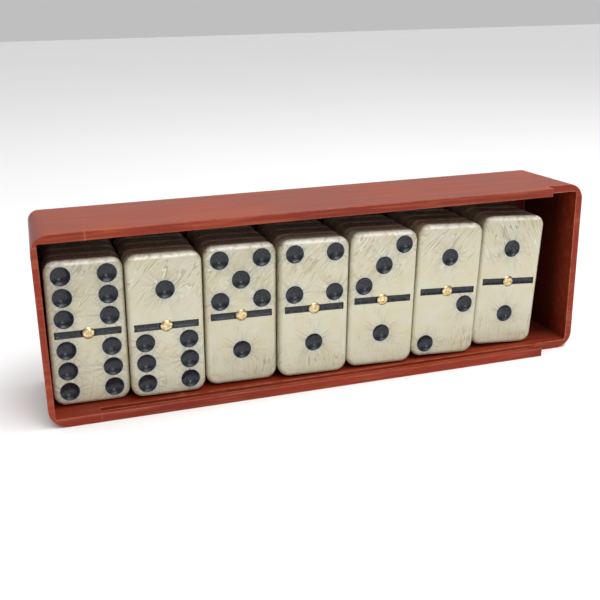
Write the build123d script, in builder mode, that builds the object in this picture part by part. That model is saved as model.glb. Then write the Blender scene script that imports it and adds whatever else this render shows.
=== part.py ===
from build123d import *
from math import cos, radians, sin, tan
import os

# A boxed double-six domino set: a moulded tray case standing on its long side, open to -Y,
# packed with 28 tiles in seven columns, four tiles deep. Millimetres throughout.
# Origin: centre of the case's underside. +X runs along the case, +Y from the open face
# to the back wall, +Z up.

# Case
CASE_LENGTH = 196.0
CASE_HEIGHT = 64.0
CASE_DEPTH = 41.7
FRONT_CORNER_RADIUS = 6.4
REAR_CORNER_RADIUS = 3.6
CAVITY_CORNER_RADIUS = 0.4
CASE_BACK_RADIUS = 1.2
OUTER_DRAFT = 1.5
INNER_DRAFT = 0.25
FLOOR_WALL = 3.1
TOP_WALL = 3.0
LEFT_WALL = 2.1
RIGHT_WALL = 2.7
BACK_WALL = 2.4
RIM_ROUNDING = 0.25

# Lid slide: a groove behind each long rim, blind at the left and open at the right, where
# the rim is set back so that a lid can slide in over it. A fine witness line of the mould
# crosses each rim where its groove starts.
SLIDE_START = 16.5
STEP_LENGTH = 16.0
STEP_DEPTH = 5.3
STEP_ROUNDING = 1.5
GROOVE_FRONT = 2.0
GROOVE_REAR = 4.7
GROOVE_DEPTH = 1.3
WITNESS_WIDTH = 0.25
WITNESS_DEPTH = 0.15
UNDERSIDE_TRIM = 0.02

# Tile
TILE_WIDTH = 25.0
TILE_HEIGHT = 49.2
TILE_THICKNESS = 7.3
TILE_CORNER_RADIUS = 4.0
FRONT_EDGE_RADIUS = 1.5
BACK_EDGE_RADIUS = 0.6
PIP_RADIUS = 3.2
PIP_DEPTH = 1.1
PIP_COLUMN = 7.25
PIP_ROW = 7.15
HALF_CENTRE = 12.5
BAR_LENGTH = 21.4
BAR_WIDTH = 2.5
BAR_DEPTH = 0.6

# Spinner: a brass pin with a low domed head, seated in the middle of the bar
HEAD_RADIUS = 1.95
HEAD_PROUD = 0.30
HEAD_RIM = 0.1
SEAT_RADIUS = 2.05
SEAT_DEPTH = 0.7
SHANK_RADIUS = 0.8
SHANK_LENGTH = 4.0
DIMPLE_RADIUS = 0.75
DIMPLE_DEPTH = 0.15

# Packing: the columns lean a little more to the right the further they stand from the
# left wall, and each column stands at its own depth behind the rim
COLUMNS = 7
ROWS = 4
FIRST_COLUMN_X = 15.3
FIRST_LEAN = 0.97
LEAN_GROWTH = 0.086
COLUMN_GAPS = (0.15, 0.65, 0.15, 0.15, 0.15, 0.6)
FLOOR_GAP = 0.35
ROW_GAP = 0.10
FACE_DEPTHS = (8.4, 6.2, 7.6, 5.4, 5.4, 5.8, 7.8)

# Tiles, named by their top and bottom halves, from left to right; the front row first
ROW_TILES = (
    ((6, 6), (1, 6), (5, 1), (4, 1), (3, 1), (1, 2), (1, 1)),
    ((0, 0), (0, 1), (0, 2), (0, 3), (0, 4), (0, 5), (0, 6)),
    ((2, 2), (2, 3), (2, 4), (2, 5), (2, 6), (3, 3), (3, 4)),
    ((3, 5), (3, 6), (4, 4), (4, 5), (4, 6), (5, 5), (5, 6)),
)

os.makedirs("parts", exist_ok=True)


def section_plane(depth):
    """Plane across the case, this far behind its front rim."""
    return Plane.XZ.offset(CASE_DEPTH / 2 - depth)


# Case: a drafted shell, flat underneath, with an almost straight inside
outer_taper = CASE_DEPTH * tan(radians(OUTER_DRAFT))
cavity_depth = CASE_DEPTH - BACK_WALL
inner_taper = cavity_depth * tan(radians(INNER_DRAFT))
cavity_length = CASE_LENGTH - LEFT_WALL - RIGHT_WALL
cavity_height = CASE_HEIGHT - FLOOR_WALL - TOP_WALL
cavity_x = (LEFT_WALL - RIGHT_WALL) / 2
slide_start_x = SLIDE_START - CASE_LENGTH / 2
step_x = CASE_LENGTH / 2 - STEP_LENGTH
groove_length = step_x - slide_start_x
groove_width = GROOVE_REAR - GROOVE_FRONT
groove_y = (GROOVE_FRONT + GROOVE_REAR - CASE_DEPTH) / 2

with BuildPart() as case:
    # A block that narrows towards the back, where its corners are rounded less
    with BuildSketch(section_plane(0)):
        with Locations((0, (CASE_HEIGHT - UNDERSIDE_TRIM) / 2)):
            RectangleRounded(
                CASE_LENGTH, CASE_HEIGHT + UNDERSIDE_TRIM, FRONT_CORNER_RADIUS
            )
    with BuildSketch(section_plane(CASE_DEPTH)):
        with Locations((0, (CASE_HEIGHT - UNDERSIDE_TRIM - outer_taper) / 2)):
            RectangleRounded(
                CASE_LENGTH - 2 * outer_taper,
                CASE_HEIGHT + UNDERSIDE_TRIM - outer_taper,
                REAR_CORNER_RADIUS,
            )
    loft(ruled=True)
    fillet(case.faces().sort_by(Axis.Y)[-1].edges(), CASE_BACK_RADIUS)

    # Cavity
    with BuildSketch(section_plane(0)):
        with Locations((cavity_x, FLOOR_WALL + cavity_height / 2)):
            RectangleRounded(cavity_length, cavity_height, CAVITY_CORNER_RADIUS)
    with BuildSketch(section_plane(cavity_depth)):
        with Locations((cavity_x, FLOOR_WALL + (cavity_height - inner_taper) / 2)):
            RectangleRounded(
                cavity_length - 2 * inner_taper,
                cavity_height - inner_taper,
                CAVITY_CORNER_RADIUS,
            )
    loft(ruled=True, mode=Mode.SUBTRACT)

    # Rim set back at the right end
    with BuildSketch(Plane.XY) as step:
        with Locations((step_x, -CASE_DEPTH / 2)):
            Rectangle(
                2 * STEP_LENGTH, 2 * STEP_DEPTH, align=(Align.MIN, Align.CENTER)
            )
        fillet(step.vertices().group_by(Axis.X)[0].sort_by(Axis.Y)[-1], STEP_ROUNDING)
    extrude(amount=2 * CASE_HEIGHT, both=True, mode=Mode.SUBTRACT)

    # Lid grooves in the floor and in the top wall
    with Locations(
        (slide_start_x, groove_y, FLOOR_WALL),
        (slide_start_x, groove_y, CASE_HEIGHT - TOP_WALL),
    ):
        Box(
            groove_length + STEP_ROUNDING,
            groove_width,
            2 * GROOVE_DEPTH,
            align=(Align.MIN, Align.CENTER, Align.CENTER),
            mode=Mode.SUBTRACT,
        )
    fillet(case.faces().sort_by(Axis.Y)[0].outer_wire().edges(), RIM_ROUNDING)

    # Witness lines
    with Locations(
        (slide_start_x, -CASE_DEPTH / 2, FLOOR_WALL / 2),
        (slide_start_x, -CASE_DEPTH / 2, CASE_HEIGHT - TOP_WALL / 2),
    ):
        Box(WITNESS_WIDTH, 2 * WITNESS_DEPTH, 2 * FLOOR_WALL, mode=Mode.SUBTRACT)

    # The underside trimmed flat
    Box(
        2 * CASE_LENGTH,
        2 * CASE_DEPTH,
        CASE_HEIGHT,
        align=(Align.CENTER, Align.CENTER, Align.MAX),
        mode=Mode.SUBTRACT,
    )

case.part.label = "case"
export_step(case.part, "parts/case.step")


# Tiles
def pip_points(value):
    """Pip centres of one half, from that half's centre."""
    a, b = PIP_COLUMN, PIP_ROW
    diagonal = [(-a, -b), (a, b)]
    corners = diagonal + [(-a, b), (a, -b)]
    layouts = {
        0: [],
        1: [(0, 0)],
        2: diagonal,
        3: diagonal + [(0, 0)],
        4: corners,
        5: corners + [(0, 0)],
        6: corners + [(-a, 0), (a, 0)],
    }
    return layouts[value]


def tile_points(top, bottom):
    """Pip centres of a whole tile, from the tile's centre."""
    upper = [(x, y + HALF_CENTRE) for x, y in pip_points(top)]
    lower = [(x, y - HALF_CENTRE) for x, y in pip_points(bottom)]
    return upper + lower


def build_tile(face, top, bottom):
    """One tile behind its face plane, with its pips, bar and spinner seat recessed."""
    ball_radius = (PIP_RADIUS**2 + PIP_DEPTH**2) / (2 * PIP_DEPTH)
    with BuildPart(face) as tile:
        with BuildSketch(face):
            RectangleRounded(TILE_WIDTH, TILE_HEIGHT, TILE_CORNER_RADIUS)
        extrude(amount=-TILE_THICKNESS)
        front_and_back = tile.faces().filter_by(Axis.Y).sort_by(Axis.Y)
        front_edges, back_edges = front_and_back[0].edges(), front_and_back[-1].edges()
        fillet(front_edges, FRONT_EDGE_RADIUS)
        fillet(back_edges, BACK_EDGE_RADIUS)
        for x, y in tile_points(top, bottom):
            with Locations((x, y, ball_radius - PIP_DEPTH)):
                Sphere(ball_radius, mode=Mode.SUBTRACT)
        with BuildSketch(face):
            Rectangle(BAR_LENGTH, BAR_WIDTH)
        extrude(amount=-BAR_DEPTH, mode=Mode.SUBTRACT)
        CounterBoreHole(SHANK_RADIUS, SEAT_RADIUS, SEAT_DEPTH, SHANK_LENGTH)
    return tile.part


def build_spinner(face):
    """The brass pin, turned about the tile's centre line."""
    profile_plane = Plane(face.origin, x_dir=face.x_dir, z_dir=-face.y_dir)
    with BuildPart() as spinner:
        with BuildSketch(profile_plane):
            with BuildLine():
                Polyline(
                    (DIMPLE_RADIUS, HEAD_PROUD),
                    (DIMPLE_RADIUS, HEAD_PROUD - DIMPLE_DEPTH),
                    (0, HEAD_PROUD - DIMPLE_DEPTH),
                    (0, -SHANK_LENGTH),
                    (SHANK_RADIUS, -SHANK_LENGTH),
                    (SHANK_RADIUS, -SEAT_DEPTH),
                    (HEAD_RADIUS, -SEAT_DEPTH),
                    (HEAD_RADIUS, -HEAD_RIM),
                )
                ThreePointArc(
                    (HEAD_RADIUS, -HEAD_RIM),
                    (HEAD_RADIUS * 0.8, HEAD_PROUD * 0.55),
                    (DIMPLE_RADIUS, HEAD_PROUD),
                )
            make_face()
        revolve(axis=Axis(face.origin, face.z_dir))
    return spinner.part


row_pitch = TILE_THICKNESS + HEAD_PROUD + ROW_GAP
half_width = TILE_WIDTH / 2 - TILE_CORNER_RADIUS
half_height = TILE_HEIGHT / 2 - TILE_CORNER_RADIUS
leans = [radians(FIRST_LEAN + LEAN_GROWTH * column**2) for column in range(COLUMNS)]

column_x = FIRST_COLUMN_X - CASE_LENGTH / 2
for column, lean in enumerate(leans):
    if column > 0:
        spread = TILE_HEIGHT / 2 * (sin(lean) - sin(leans[column - 1]))
        column_x += TILE_WIDTH + spread + COLUMN_GAPS[column - 1]
    # A leaning tile stands on one rounded corner
    rise = TILE_CORNER_RADIUS + half_height * cos(lean) + half_width * sin(lean)
    centre_z = FLOOR_WALL + FLOOR_GAP + rise
    for row in range(ROWS):
        top, bottom = ROW_TILES[row][column]
        face_y = FACE_DEPTHS[column] + row * row_pitch - CASE_DEPTH / 2
        face = Plane(
            (column_x, face_y, centre_z),
            x_dir=(cos(lean), 0, -sin(lean)),
            z_dir=(0, -1, 0),
        )
        name = f"tile_{top}_{bottom}"
        tile_part = build_tile(face, top, bottom)
        tile_part.label = name
        export_step(tile_part, f"parts/{name}.step")
        spinner_part = build_spinner(face)
        spinner_part.label = f"{name}_spinner"
        export_step(spinner_part, f"parts/{name}_spinner.step")
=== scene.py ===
"""Looks for the boxed double-six domino set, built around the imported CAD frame. Metres."""

import math

import bmesh
import bpy
from mathutils import Matrix, Vector


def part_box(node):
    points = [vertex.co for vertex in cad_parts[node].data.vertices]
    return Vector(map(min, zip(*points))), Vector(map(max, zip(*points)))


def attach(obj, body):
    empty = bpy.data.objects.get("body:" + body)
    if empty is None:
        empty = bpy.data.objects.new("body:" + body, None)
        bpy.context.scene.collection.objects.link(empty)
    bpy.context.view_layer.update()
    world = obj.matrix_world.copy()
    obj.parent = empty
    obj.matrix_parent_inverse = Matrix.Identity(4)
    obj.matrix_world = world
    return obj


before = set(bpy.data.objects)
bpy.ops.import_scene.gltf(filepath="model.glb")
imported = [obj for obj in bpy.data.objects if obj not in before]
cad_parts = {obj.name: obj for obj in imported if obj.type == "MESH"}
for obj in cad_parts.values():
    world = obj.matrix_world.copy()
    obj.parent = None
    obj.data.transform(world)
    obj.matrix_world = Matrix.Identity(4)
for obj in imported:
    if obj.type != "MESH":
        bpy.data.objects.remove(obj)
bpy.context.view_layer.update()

MM = 0.001

# Tile sizes that the recesses are cut to, as in the CAD, in millimetres
TILE_WIDTH = 25.0
TILE_HEIGHT = 49.2
TILE_CORNER_RADIUS = 4.0
PIP_RADIUS = 3.2
PIP_DEPTH = 1.1
PIP_COLUMN = 7.25
PIP_ROW = 7.15
HALF_CENTRE = 12.5
BAR_LENGTH = 21.4
BAR_WIDTH = 2.5
BAR_DEPTH = 0.6
SEAT_RADIUS = 2.05

# Enamel, in millimetres: how far it stands off the recess, how deep it reaches behind the
# surface, and how it hollows between the walls of the bar
ENAMEL_LIFT = 0.03
ENAMEL_SINK = 0.04
ENAMEL_BRIM = 0.004
ENAMEL_GAP = 0.01
DISH_RINGS = 9
DISH_SIDES = 48
BAR_TOP = 0.12
BAR_MENISCUS = 0.40
BAR_END_HOLLOW = 0.25
BAR_END_REACH = 0.9
BAR_ACROSS = 12
BAR_ALONG = 14

# Painted shade darkens the case's inner walls within these limits, in metres
INSIDE_SHADE_RAMP = (-0.014, -0.002)
INSIDE_BACK = 0.0186
INSIDE_TOP = 0.0611
INSIDE_FLOOR = 0.0029
INSIDE_HALF_LENGTH = 0.0960

# Film: its folds slant one way on the left of the case and the other way on the right,
# and a painted highlight along the tiles' upper front edge is strongest on the front row
SLANT_CHANGES_AT_X = 0.05
LEFT_SLANT = 0.72
RIGHT_SLANT = -0.50
FRONT_ROW_ENDS_AT_Y = -0.010
FRONT_GLEAM = 0.80
HIDDEN_GLEAM = 0.10

# Studio
FLOOR_REACH = 3.0
LIGHTS_AIM = (0.0, 0.0, 0.03)
LIGHTS = {
    "key": {"place": (0.15, -0.70, 0.58), "size": (0.45, 0.30), "power": 0.9},
    "strip": {"place": (0.24, -0.22, 0.80), "size": (0.70, 0.36), "power": 4.6},
    "spot": {"place": (0.10, -0.85, 0.16), "size": (0.18, 0.12), "power": 0.7},
    "edge": {"place": (0.05, -0.52, 0.50), "size": (0.55, 0.035), "power": 0.8},
}

# Camera
CAMERA_PLACE = (-0.10106, -0.29436, 0.13041)
CAMERA_YAW = -0.3104
CAMERA_PITCH = -0.3246
CAMERA_ROLL = 0.0174
CAMERA_LENS = 54.27
CAMERA_SENSOR = 36.0
CAMERA_CLIP = 0.01


# ---------------------------------------------------------------- node helpers
class Nodes:
    """A small hand for building one material's node tree."""

    def __init__(self, tree):
        self.tree = tree

    def add(self, kind, inputs=None, **settings):
        node = self.tree.nodes.new(kind)
        for key, value in settings.items():
            setattr(node, key, value)
        for key, value in (inputs or {}).items():
            self.feed(node.inputs[key], value)
        return node

    def feed(self, socket, value):
        if isinstance(value, bpy.types.NodeSocket):
            self.tree.links.new(value, socket)
        else:
            socket.default_value = value

    def math(self, operation, a, b=0.0, clamp=False):
        node = self.add("ShaderNodeMath", operation=operation, use_clamp=clamp)
        self.feed(node.inputs[0], a)
        self.feed(node.inputs[1], b)
        return node.outputs[0]

    def times(self, a, b):
        return self.math("MULTIPLY", a, b)

    def most(self, a, b):
        return self.math("MAXIMUM", a, b)

    def vector(self, operation, a, b=(0.0, 0.0, 0.0)):
        node = self.add("ShaderNodeVectorMath", operation=operation)
        self.feed(node.inputs[0], a)
        self.feed(node.inputs[1], b)
        return node.outputs["Value" if operation in ("LENGTH", "DOT_PRODUCT") else "Vector"]

    def split(self, vector):
        return self.add("ShaderNodeSeparateXYZ", {"Vector": vector}).outputs

    def noise(self, vector, scale, detail=2.0, roughness=0.5, distortion=0.0):
        inputs = {
            "Vector": vector,
            "Scale": scale,
            "Detail": detail,
            "Roughness": roughness,
            "Distortion": distortion,
        }
        return self.add("ShaderNodeTexNoise", inputs).outputs["Fac"]

    def ramp(self, value, low, high, out_low=0.0, out_high=1.0):
        inputs = {
            "Value": value,
            "From Min": low,
            "From Max": high,
            "To Min": out_low,
            "To Max": out_high,
        }
        node = self.add("ShaderNodeMapRange", inputs, interpolation_type="SMOOTHSTEP")
        return node.outputs["Result"]

    def ridge(self, value, level, width):
        """A thin line where a noise passes through one level."""
        distance = self.math("ABSOLUTE", self.math("SUBTRACT", value, level))
        return self.ramp(distance, 0.0, width, 1.0, 0.0)

    def stretch(self, vector, scale, turn=(0.0, 0.0, 0.0)):
        inputs = {"Vector": vector, "Rotation": turn, "Scale": scale}
        return self.add("ShaderNodeMapping", inputs).outputs["Vector"]

    def mix(self, factor, a, b):
        node = self.add("ShaderNodeMix", data_type="RGBA", blend_type="MIX")
        self.feed(node.inputs["Factor"], factor)
        self.feed(node.inputs["A"], a)
        self.feed(node.inputs["B"], b)
        return node.outputs["Result"]

    def bump(self, height, strength, distance):
        inputs = {"Height": height, "Strength": strength, "Distance": distance}
        return self.add("ShaderNodeBump", inputs).outputs["Normal"]


def colour(red, green, blue):
    """An sRGB colour, 0 to 255, as the linear colour that a shader takes."""

    def linear(value):
        value /= 255
        return value / 12.92 if value <= 0.04045 else ((value + 0.055) / 1.055) ** 2.4

    return (linear(red), linear(green), linear(blue), 1.0)


def new_material(name):
    material = bpy.data.materials.new(name)
    material.use_nodes = True
    material.node_tree.nodes.clear()
    nodes = Nodes(material.node_tree)
    output = nodes.add("ShaderNodeOutputMaterial")
    shader = nodes.add("ShaderNodeBsdfPrincipled")
    nodes.feed(output.inputs["Surface"], shader.outputs["BSDF"])
    place = nodes.add("ShaderNodeTexCoord").outputs["Object"]
    return material, nodes, shader, place


def dress(node_name, material):
    """Gives a CAD node's object one material."""
    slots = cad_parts[node_name].material_slots
    if not slots:
        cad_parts[node_name].data.materials.append(material)
    for slot in slots:
        slot.link = "OBJECT"
        slot.material = material


# ------------------------------------------------------------------ case
def inside_shade_mask(nodes, place):
    """Mask for painted shade: one on the case's inner walls, ramping in behind the rim."""
    where = nodes.split(place)
    below_top = nodes.math("LESS_THAN", where["Z"], INSIDE_TOP)
    above_floor = nodes.math("GREATER_THAN", where["Z"], INSIDE_FLOOR)
    before_back = nodes.math("LESS_THAN", where["Y"], INSIDE_BACK)
    from_middle = nodes.math("ABSOLUTE", where["X"])
    between_ends = nodes.math("LESS_THAN", from_middle, INSIDE_HALF_LENGTH)
    mask = nodes.ramp(where["Y"], *INSIDE_SHADE_RAMP)
    for limit in (before_back, below_top, above_floor, between_ends):
        mask = nodes.times(mask, limit)
    return mask


def case_plastic():
    """Brick-red moulded plastic: draw streaks along its length, cloudy wear, pale edges, painted
    shade inside and painted sheen with dust on top.
    """
    material, nodes, shader, place = new_material("case_plastic")
    deep = colour(116, 33, 14)
    base = colour(134, 42, 18)
    # Pale dusty tone: used for the draw streaks, and also as painted sheen on the upward top
    # faces
    dust_and_sheen_tone = colour(166, 92, 62)
    worn = colour(192, 112, 86)
    inner = colour(56, 12, 6)

    clouds = nodes.noise(place, 22.0, 4.0, 0.55)
    streaks = nodes.noise(nodes.stretch(place, (9.0, 420.0, 260.0)), 1.0, 3.0, 0.6)
    fibres = nodes.noise(nodes.stretch(place, (45.0, 1500.0, 900.0)), 1.0, 2.0, 0.5)
    tone = nodes.mix(nodes.ramp(clouds, 0.35, 0.70), deep, base)
    tone = nodes.mix(nodes.ramp(streaks, 0.46, 0.72, 0.0, 0.30), tone, dust_and_sheen_tone)
    tone = nodes.mix(nodes.ramp(fibres, 0.48, 0.72, 0.0, 0.34), tone, dust_and_sheen_tone)

    # Painted shade: the inner walls darkened towards a deep red-brown, where little light reaches
    tone = nodes.mix(nodes.times(inside_shade_mask(nodes, place), 0.85), tone, inner)

    # The top: painted sheen together with gathered dust on its upward faces, and light scuffs
    sharp = nodes.add("ShaderNodeNewGeometry").outputs["Normal"]
    upward = nodes.ramp(nodes.split(sharp)["Z"], 0.55, 0.95)
    outside = nodes.ramp(nodes.split(place)["Z"], 0.060, 0.0615)
    top_dust_and_sheen = nodes.times(outside, nodes.ramp(clouds, 0.2, 0.8, 0.14, 0.30))
    tone = nodes.mix(nodes.times(upward, top_dust_and_sheen), tone, dust_and_sheen_tone)

    # Pale wear where an edge turns
    rounded = nodes.add("ShaderNodeBevel", {"Radius": 0.0006}, samples=8).outputs["Normal"]
    turning = nodes.math("SUBTRACT", 1.0, nodes.vector("DOT_PRODUCT", rounded, sharp))
    rubbed = nodes.ramp(nodes.noise(place, 260.0, 3.0, 0.6), 0.34, 0.60, 0.20, 0.85)
    tone = nodes.mix(nodes.times(nodes.ramp(turning, 0.01, 0.07), rubbed), tone, worn)

    # Scratches
    across = nodes.stretch(place, (140.0, 60.0, 3000.0), turn=(0.0, 0.35, 0.2))
    scratches = nodes.ramp(nodes.noise(across, 1.0, 2.0, 0.5), 0.72, 0.80)
    tone = nodes.mix(nodes.times(scratches, 0.30), tone, worn)

    nodes.feed(shader.inputs["Base Color"], tone)
    nodes.feed(shader.inputs["Roughness"], nodes.ramp(clouds, 0.2, 0.8, 0.34, 0.50))
    shader.inputs["Specular IOR Level"].default_value = 0.22
    grain = nodes.times(nodes.noise(place, 700.0, 2.0), 0.5)
    height = nodes.math("ADD", nodes.times(fibres, 0.6), grain)
    height = nodes.math("SUBTRACT", height, nodes.times(scratches, 0.7))
    nodes.feed(shader.inputs["Normal"], nodes.bump(height, 0.35, 0.00008))
    return material


# ------------------------------------------------------------------ tiles
def pip_points(value):
    """Pip centres of one half, from that half's centre, in millimetres."""
    a, b = PIP_COLUMN, PIP_ROW
    diagonal = [(-a, -b), (a, b)]
    corners = diagonal + [(-a, b), (a, -b)]
    layouts = {
        0: [],
        1: [(0, 0)],
        2: diagonal,
        3: diagonal + [(0, 0)],
        4: corners,
        5: corners + [(0, 0)],
        6: corners + [(-a, 0), (a, 0)],
    }
    return layouts[value]


def tile_points(top, bottom):
    """Pip centres of a whole tile, from the tile's centre, in millimetres."""
    upper = [(x, y + HALF_CENTRE) for x, y in pip_points(top)]
    lower = [(x, y - HALF_CENTRE) for x, y in pip_points(bottom)]
    return upper + lower


def tile_place(name):
    """Matrix from a tile's own frame (x across, y up its face, z out of it) to the row frame."""
    low, high = (Vector(corner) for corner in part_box(name))
    seat_low, seat_high = (Vector(corner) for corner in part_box(f"{name}_spinner"))
    centre = (seat_low + seat_high) / 2
    centre.y = low.y
    reach = (high.x - low.x - TILE_WIDTH * MM) / 2
    lean = math.asin(reach / ((TILE_HEIGHT / 2 - TILE_CORNER_RADIUS) * MM))
    upright = Matrix.Rotation(lean, 4, "Y") @ Matrix.Rotation(math.pi / 2, 4, "X")
    return Matrix.Translation(centre) @ upright


def crease_group():
    """Creases that fan out from one pip, where the film is drawn into its dish, and a halo."""
    tree = bpy.data.node_groups.new("crease_fan", "ShaderNodeTree")
    for name in ("Vector", "Centre"):
        tree.interface.new_socket(name, in_out="INPUT", socket_type="NodeSocketVector")
    for name in ("Height", "Halo"):
        tree.interface.new_socket(name, in_out="OUTPUT", socket_type="NodeSocketFloat")
    nodes = Nodes(tree)
    entry = nodes.add("NodeGroupInput").outputs
    leave = nodes.add("NodeGroupOutput").inputs

    offset = nodes.vector("SUBTRACT", entry["Vector"], entry["Centre"])
    offset = nodes.vector("MULTIPLY", offset, (1.0, 1.0, 0.0))
    radius = nodes.vector("LENGTH", offset)
    bearing = nodes.vector("NORMALIZE", offset)
    seed = nodes.vector("MULTIPLY", entry["Centre"], (1.37, 0.91, 0.0))
    spread = nodes.vector("ADD", nodes.vector("MULTIPLY", bearing, (3.2, 3.2, 0.0)), seed)
    wander = nodes.vector("MULTIPLY", offset, (0.035, 0.035, 0.0))
    angular = nodes.noise(nodes.vector("ADD", spread, wander), 1.0, 2.0, 0.6)
    crease = nodes.ridge(angular, 0.5, 0.045)

    # Each crease runs out at its own distance from the pip
    reach = nodes.noise(nodes.vector("MULTIPLY", spread, (0.7, 0.7, 0.0)), 1.0, 1.0)
    far = nodes.math("SUBTRACT", nodes.ramp(reach, 0.3, 0.7, 5.0, 11.0), PIP_RADIUS)
    run = nodes.math("DIVIDE", nodes.math("SUBTRACT", radius, PIP_RADIUS), far)
    fade = nodes.math("SUBTRACT", 1.0, run, clamp=True)
    rim = nodes.ramp(radius, 2.9, 3.3)
    nodes.feed(leave["Height"], nodes.times(crease, nodes.times(fade, rim)))
    nodes.feed(leave["Halo"], nodes.ramp(radius, 3.0, 5.0, 1.0, 0.0))
    return tree


def pip_marks(nodes, local, points, fan):
    """The creases and the halo of all pips of one tile; a blank tile gets a few loose creases."""
    if not points:
        return nodes.ramp(nodes.noise(local, 0.4, 2.0), 0.60, 0.80, 0.0, 0.4), 0.0
    creases = halo = 0.0
    for x, y in points:
        around_pip = nodes.add("ShaderNodeGroup", node_tree=fan)
        nodes.feed(around_pip.inputs["Vector"], local)
        nodes.feed(around_pip.inputs["Centre"], (x, y, 0.0))
        creases = nodes.most(creases, around_pip.outputs["Height"])
        halo = nodes.most(halo, around_pip.outputs["Halo"])
    return creases, halo


def film_folds(nodes, seeded, parts, matrix):
    """Painted shade along the film's folds and painted glints: slanted in the upper half, upright
    at the foot.
    """
    patch = nodes.noise(seeded, 0.085, 1.0)
    slant = LEFT_SLANT if matrix.translation.x < SLANT_CHANGES_AT_X else RIGHT_SLANT
    turned = nodes.stretch(seeded, (1.0, 1.0, 1.0), turn=(0.0, 0.0, slant))
    slanted = nodes.noise(nodes.stretch(turned, (0.80, 0.075, 0.4)), 1.0, 1.0, 0.4, 0.15)
    upright = nodes.noise(nodes.stretch(seeded, (0.8, 0.10, 0.4)), 1.0, 1.0, 0.4, 0.1)
    high = nodes.ramp(parts["Y"], 0.0, 16.0)
    high = nodes.times(high, nodes.ramp(patch, 0.30, 0.58, 0.35, 1.0))
    low = nodes.ramp(parts["Y"], -6.0, -20.0)
    low = nodes.times(low, nodes.ramp(patch, 0.30, 0.62, 1.0, 0.35))
    slanted_folds = nodes.times(nodes.ridge(slanted, 0.5, 0.03), high)
    upright_folds = nodes.times(nodes.ridge(upright, 0.5, 0.03), low)
    # Painted glints: a pale highlight line beside each slanted fold
    glints = nodes.times(nodes.ridge(slanted, 0.55, 0.02), high)
    return nodes.most(slanted_folds, upright_folds), glints


def tile_resin(name, points, matrix, fan):
    """Cream resin under crinkled clear film, with creases fanning out from each pip."""
    material, nodes, shader, place = new_material(f"{name}_resin")
    cream = colour(191, 187, 165)
    warm = colour(189, 181, 150)
    shade = colour(136, 124, 96)
    glint = colour(228, 223, 204)
    bluish = colour(168, 176, 178)
    painted_gleam = colour(250, 247, 234)
    dirt = colour(96, 84, 62)

    # The tile's own frame, in millimetres, and the same moved on so that no two tiles match
    inverse = matrix.inverted()
    mapping = {"Vector": place, "Location": inverse.translation, "Rotation": inverse.to_euler()}
    local = nodes.add("ShaderNodeMapping", mapping, vector_type="POINT").outputs["Vector"]
    local = nodes.vector("MULTIPLY", local, (1000.0, 1000.0, 1000.0))
    parts = nodes.split(local)
    moved = (matrix.translation.x * 900.0, matrix.translation.y * 700.0, 0.0)
    seeded = nodes.vector("ADD", local, moved)

    near_face = nodes.ramp(parts["Z"], -2.6, -1.2)
    creases, halo = pip_marks(nodes, local, points, fan)
    creases = nodes.times(creases, near_face)
    halo = nodes.times(halo, near_face)
    folds, glints = film_folds(nodes, seeded, parts, matrix)
    clouds = nodes.noise(seeded, 0.12, 3.0, 0.5)
    soft = nodes.noise(seeded, 0.5, 2.0, 0.5, 0.4)

    tone = nodes.mix(nodes.ramp(clouds, 0.30, 0.75), cream, warm)
    tone = nodes.mix(nodes.times(halo, 0.45), tone, bluish)
    # Creases and folds of the film, painted as darker shade lines
    shade_lines = nodes.most(nodes.times(creases, 0.46), nodes.times(folds, 0.60))
    tone = nodes.mix(shade_lines, tone, shade)
    # Painted glints: pale highlight lines beside the film's upper folds
    tone = nodes.mix(nodes.times(glints, 0.75), tone, glint)

    # The brow: a painted highlight along the upper front edge, strongest on the front row
    in_front_row = matrix.translation.y < FRONT_ROW_ENDS_AT_Y
    gleam = FRONT_GLEAM if in_front_row else HIDDEN_GLEAM
    brow_highlight = nodes.times(nodes.ramp(parts["Y"], 22.8, 23.5), nodes.ramp(parts["Z"], -2.4, -1.0))
    brow_highlight = nodes.times(brow_highlight, nodes.ramp(soft, 0.30, 0.55, 0.3 * gleam, gleam))
    tone = nodes.mix(brow_highlight, tone, painted_gleam)

    specks = nodes.ramp(nodes.noise(seeded, 2.2, 1.0), 0.80, 0.84)
    tone = nodes.mix(nodes.times(specks, 0.6), tone, dirt)
    nodes.feed(shader.inputs["Base Color"], tone)
    settings = {
        "Roughness": 0.38,
        "Subsurface Weight": 0.18,
        "Subsurface Radius": (1.0, 0.75, 0.45),
        "Subsurface Scale": 0.0022,
        "Coat Weight": 1.0,
        "Coat Roughness": 0.08,
        "Coat IOR": 1.5,
    }
    for key, value in settings.items():
        shader.inputs[key].default_value = value
    film = nodes.math("ADD", creases, nodes.times(folds, 0.9))
    film = nodes.math("ADD", film, nodes.times(soft, 1.6))
    nodes.feed(shader.inputs["Coat Normal"], nodes.bump(film, 1.0, 0.00034))
    nodes.feed(shader.inputs["Normal"], nodes.bump(film, 0.6, 0.00016))
    return material


def enamel_black():
    """Glossy black enamel, greyed by the film over it, with fine scuffs."""
    material, nodes, shader, place = new_material("enamel_black")
    black = colour(23, 26, 33)
    greyed = colour(36, 39, 47)
    scuffed = colour(80, 82, 88)
    clouds = nodes.noise(place, 900.0, 3.0, 0.6)
    drawn_out = nodes.stretch(place, (700.0, 700.0, 2600.0))
    scuffs = nodes.ramp(nodes.noise(drawn_out, 1.0, 2.0), 0.62, 0.80)
    tone = nodes.mix(nodes.ramp(clouds, 0.35, 0.7), black, greyed)
    tone = nodes.mix(nodes.times(scuffs, 0.25), tone, scuffed)
    nodes.feed(shader.inputs["Base Color"], tone)
    nodes.feed(shader.inputs["Roughness"], nodes.ramp(clouds, 0.3, 0.7, 0.20, 0.30))
    shader.inputs["Specular IOR Level"].default_value = 0.38
    height = nodes.math("ADD", clouds, scuffs)
    nodes.feed(shader.inputs["Normal"], nodes.bump(height, 0.12, 0.00003))
    return material


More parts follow.
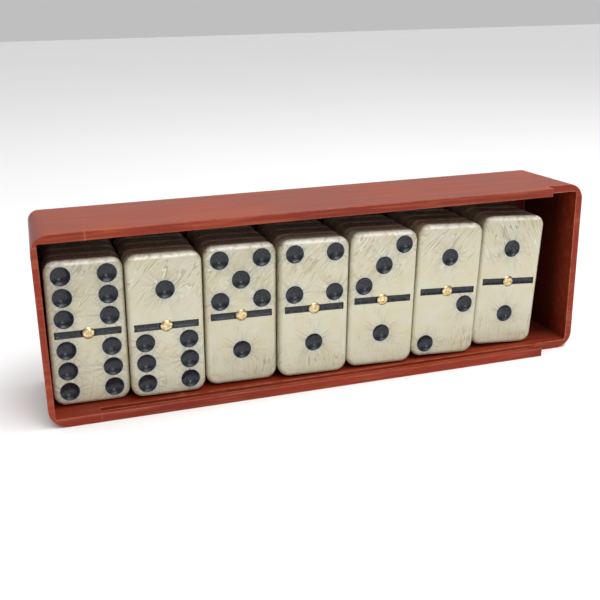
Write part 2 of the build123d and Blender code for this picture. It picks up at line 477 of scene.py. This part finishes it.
def spinner_brass():
    """Polished brass, slightly dulled in cloudy patches."""
    material, nodes, shader, place = new_material("spinner_brass")
    dulled = colour(182, 154, 106)
    bright = colour(238, 221, 180)
    tarnish = nodes.noise(place, 1400.0, 4.0, 0.65)
    tone = nodes.mix(nodes.ramp(tarnish, 0.35, 0.68), dulled, bright)
    nodes.feed(shader.inputs["Base Color"], tone)
    shader.inputs["Metallic"].default_value = 1.0
    nodes.feed(shader.inputs["Roughness"], nodes.ramp(tarnish, 0.3, 0.7, 0.42, 0.22))
    dents = nodes.noise(place, 1500.0, 2.0, 0.5)
    nodes.feed(shader.inputs["Normal"], nodes.bump(dents, 0.35, 0.00008))
    return material


# ------------------------------------------------------------------ enamel pieces
def following(items):
    """Each item with the next one, the last with the first."""
    return zip(items, items[1:] + items[:1])


def add_dish(bm, x, y):
    """A thin closed dish of enamel that lines one pip."""
    ball = (PIP_RADIUS**2 + PIP_DEPTH**2) / (2 * PIP_DEPTH)
    centre = ball - PIP_DEPTH
    widest = math.asin(PIP_RADIUS / ball)
    brims = []
    for radius, is_upper in ((ball - ENAMEL_LIFT, True), (ball + ENAMEL_SINK, False)):
        pole = bm.verts.new((x, y, centre - radius))
        shell = []
        for step in range(1, DISH_RINGS + 1):
            angle = widest * step / DISH_RINGS
            flat = radius * math.sin(angle)
            level = min(centre - radius * math.cos(angle), -ENAMEL_BRIM)
            ring = []
            for side in range(DISH_SIDES):
                turn = 2 * math.pi * side / DISH_SIDES
                point = (x + flat * math.cos(turn), y + flat * math.sin(turn), level)
                ring.append(bm.verts.new(point))
            shell.append(ring)
        faces = [(pole, first, second) for first, second in following(shell[0])]
        for inner, outer in zip(shell, shell[1:]):
            for (a, b), (c, d) in zip(following(inner), following(outer)):
                faces.append((a, c, d, b))
        for face in faces:
            bm.faces.new(face if is_upper else tuple(reversed(face)))
        brims.append(shell[-1])
    for (a, b), (c, d) in zip(following(brims[0]), following(brims[1])):
        bm.faces.new((a, c, d, b))


def add_bar(bm, side):
    """Enamel in one half of the bar: hollow across, where it clung to the groove's walls."""
    half = BAR_WIDTH / 2 - ENAMEL_GAP
    end = BAR_LENGTH / 2 - ENAMEL_GAP
    rings = []
    for step in range(BAR_ALONG + 1):
        upper, lower = [], []
        for k in range(BAR_ACROSS + 1):
            v = half * (2 * k / BAR_ACROSS - 1)
            start = math.sqrt(SEAT_RADIUS**2 - v * v) + ENAMEL_GAP
            u = start + (end - start) * step / BAR_ALONG
            from_end = min(1.0, (end - u) / BAR_END_REACH)
            share = BAR_END_HOLLOW + (1 - BAR_END_HOLLOW) * from_end
            hollow = BAR_MENISCUS * (1 - (v / half) ** 2) * share
            upper.append((side * u, v, -BAR_TOP - hollow))
            lower.append((side * u, v, -BAR_DEPTH - ENAMEL_GAP))
        ring = upper + list(reversed(lower))
        rings.append(ring if side > 0 else list(reversed(ring)))
    layers = [[bm.verts.new(point) for point in ring] for ring in rings]
    for below, above in zip(layers, layers[1:]):
        for (a, b), (c, d) in zip(following(below), following(above)):
            bm.faces.new((a, b, d, c))
    bm.faces.new(list(reversed(layers[0])))
    bm.faces.new(layers[-1])


def enamel_piece(name, points, matrix, material):
    mesh = bpy.data.meshes.new(f"{name}_enamel")
    bm = bmesh.new()
    for x, y in points:
        add_dish(bm, x, y)
    for side in (1, -1):
        add_bar(bm, side)
    bmesh.ops.recalc_face_normals(bm, faces=bm.faces)
    bmesh.ops.scale(bm, vec=(MM, MM, MM), verts=bm.verts)
    bmesh.ops.transform(bm, matrix=matrix, verts=bm.verts)
    bm.to_mesh(mesh)
    bm.free()
    for polygon in mesh.polygons:
        polygon.use_smooth = True
    mesh.materials.append(material)
    piece = bpy.data.objects.new(f"{name}_enamel", mesh)
    bpy.context.collection.objects.link(piece)
    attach(piece, name)


dress("case", case_plastic())
fan = crease_group()
brass = spinner_brass()
enamel = enamel_black()
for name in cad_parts:
    if not name.startswith("tile_") or name.endswith("_spinner"):
        continue
    top, bottom = (int(value) for value in name.split("_")[1:])
    points = tile_points(top, bottom)
    matrix = tile_place(name)
    dress(name, tile_resin(name, points, matrix, fan))
    dress(f"{name}_spinner", brass)
    enamel_piece(name, points, matrix, enamel)


# ------------------------------------------------------------------ stage
def pale_floor():
    material, nodes, shader, place = new_material("pale_floor")
    grey, pale = (0.86, 0.86, 0.86, 1.0), (0.90, 0.90, 0.90, 1.0)
    clouds = nodes.noise(place, 3.0, 2.0)
    nodes.feed(shader.inputs["Base Color"], nodes.mix(clouds, grey, pale))
    shader.inputs["Roughness"].default_value = 0.9
    return material


def lay_floor():
    corners = [(-1, -1), (1, -1), (1, 1), (-1, 1)]
    points = [(x * FLOOR_REACH, y * FLOOR_REACH, 0) for x, y in corners]
    mesh = bpy.data.meshes.new("floor")
    mesh.from_pydata(points, [], [(0, 1, 2, 3)])
    mesh.materials.append(pale_floor())
    floor = bpy.data.objects.new("floor", mesh)
    bpy.context.collection.objects.link(floor)


def area_light(name, place, size, power):
    data = bpy.data.lights.new(name, "AREA")
    data.shape = "RECTANGLE"
    data.size, data.size_y = size
    data.energy = power
    light = bpy.data.objects.new(name, data)
    light.location = place
    aim = Vector(LIGHTS_AIM) - Vector(place)
    light.rotation_euler = aim.to_track_quat("-Z", "Y").to_euler()
    bpy.context.collection.objects.link(light)


def studio_world():
    """Soft white surround: bright overhead, behind and along the horizon, dim in front."""
    world = bpy.data.worlds.new("studio")
    world.use_nodes = True
    world.node_tree.nodes.clear()
    nodes = Nodes(world.node_tree)
    direction = nodes.split(nodes.add("ShaderNodeTexCoord").outputs["Generated"])
    behind = nodes.ramp(direction["Y"], -0.35, 0.35, 0.08, 0.46)
    horizon = nodes.ramp(direction["Z"], 0.12, 0.26, 0.52, 0.0)
    overhead = nodes.ramp(direction["Z"], 0.30, 0.60, 0.0, 0.62)
    background = nodes.add("ShaderNodeBackground", {"Color": (1.0, 1.0, 1.0, 1.0)})
    strength = nodes.math("ADD", nodes.most(behind, horizon), overhead)
    nodes.feed(background.inputs["Strength"], strength)
    output = nodes.add("ShaderNodeOutputWorld")
    nodes.feed(output.inputs["Surface"], background.outputs["Background"])
    return world


def place_camera():
    data = bpy.data.cameras.new("camera")
    data.sensor_width = CAMERA_SENSOR
    data.lens = CAMERA_LENS
    data.clip_start = CAMERA_CLIP
    camera = bpy.data.objects.new("camera", data)
    camera.matrix_world = (
        Matrix.Translation(CAMERA_PLACE)
        @ Matrix.Rotation(CAMERA_YAW, 4, "Z")
        @ Matrix.Rotation(math.pi / 2 + CAMERA_PITCH, 4, "X")
        @ Matrix.Rotation(-CAMERA_ROLL, 4, "Z")
    )
    bpy.context.collection.objects.link(camera)
    bpy.context.scene.camera = camera


lay_floor()
for light_name, light in LIGHTS.items():
    area_light(light_name, **light)
bpy.context.scene.world = studio_world()
bpy.context.scene.view_settings.view_transform = "Standard"
place_camera()
